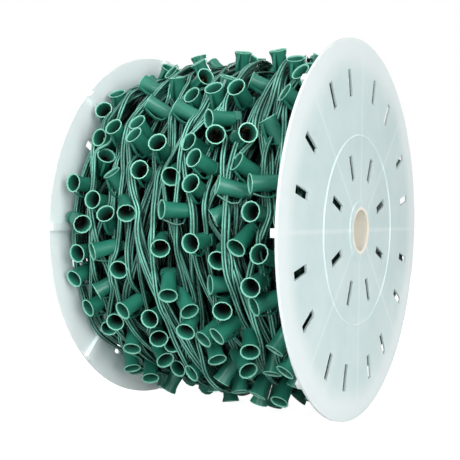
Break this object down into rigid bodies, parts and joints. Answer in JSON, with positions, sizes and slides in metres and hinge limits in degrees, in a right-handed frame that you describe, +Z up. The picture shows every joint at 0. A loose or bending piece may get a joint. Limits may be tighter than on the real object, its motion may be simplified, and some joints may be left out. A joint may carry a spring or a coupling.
{
  "type": "wire spool",
  "caption": "Bulk reel with two slotted plastic flanges on a bored core tube, wound with green twin cord that carries lamp sockets.",
  "frame": {"origin": "on the bore's axis, midway between the two flanges", "axes": "+X along the bore towards the right flange, +Z up when the reel stands on its rims"},
  "size_m": [0.258, 0.4, 0.4],
  "materials": {
    "flange_plastic": "satin translucent moulded sheet",
    "core_fibre": "matte spiral-wound fibre",
    "cord_green": "soft satin insulation",
    "socket_green": "semi-gloss moulded",
    "cap_green": "semi-gloss moulded",
    "contact_brass": "stamped strip"
  },
  "bodies": {
    "root": {"centre_contacts_1": "contact_brass", "centre_contacts_2": "contact_brass", "centre_contacts_3": "contact_brass", "centre_contacts_4": "contact_brass", "centre_contacts_5": "contact_brass", "centre_contacts_6": "contact_brass", "centre_contacts_7": "contact_brass", "centre_contacts_8": "contact_brass", "centre_contacts_9": "contact_brass", "core_tube": "core_fibre", "flange_left": "flange_plastic", "flange_right": "flange_plastic", "outer_turns": "cord_green", "side_contacts_1": "contact_brass", "side_contacts_2": "contact_brass", "side_contacts_3": "contact_brass", "side_contacts_4": "contact_brass", "side_contacts_5": "contact_brass", "side_contacts_6": "contact_brass", "side_contacts_7": "contact_brass", "side_contacts_8": "contact_brass", "side_contacts_9": "contact_brass", "socket_bodies_1": "socket_green", "socket_bodies_2": "socket_green", "socket_bodies_3": "socket_green", "socket_bodies_4": "socket_green", "socket_bodies_5": "socket_green", "socket_bodies_6": "socket_green", "socket_bodies_7": "socket_green", "socket_bodies_8": "socket_green", "socket_bodies_9": "socket_green", "socket_caps_1": "cap_green", "socket_caps_2": "cap_green", "socket_caps_3": "cap_green", "socket_caps_4": "cap_green", "socket_caps_5": "cap_green", "socket_caps_6": "cap_green", "socket_caps_7": "cap_green", "socket_caps_8": "cap_green", "socket_caps_9": "cap_green", "winding_core": "cord_green"}
  },
  "joints": []
}
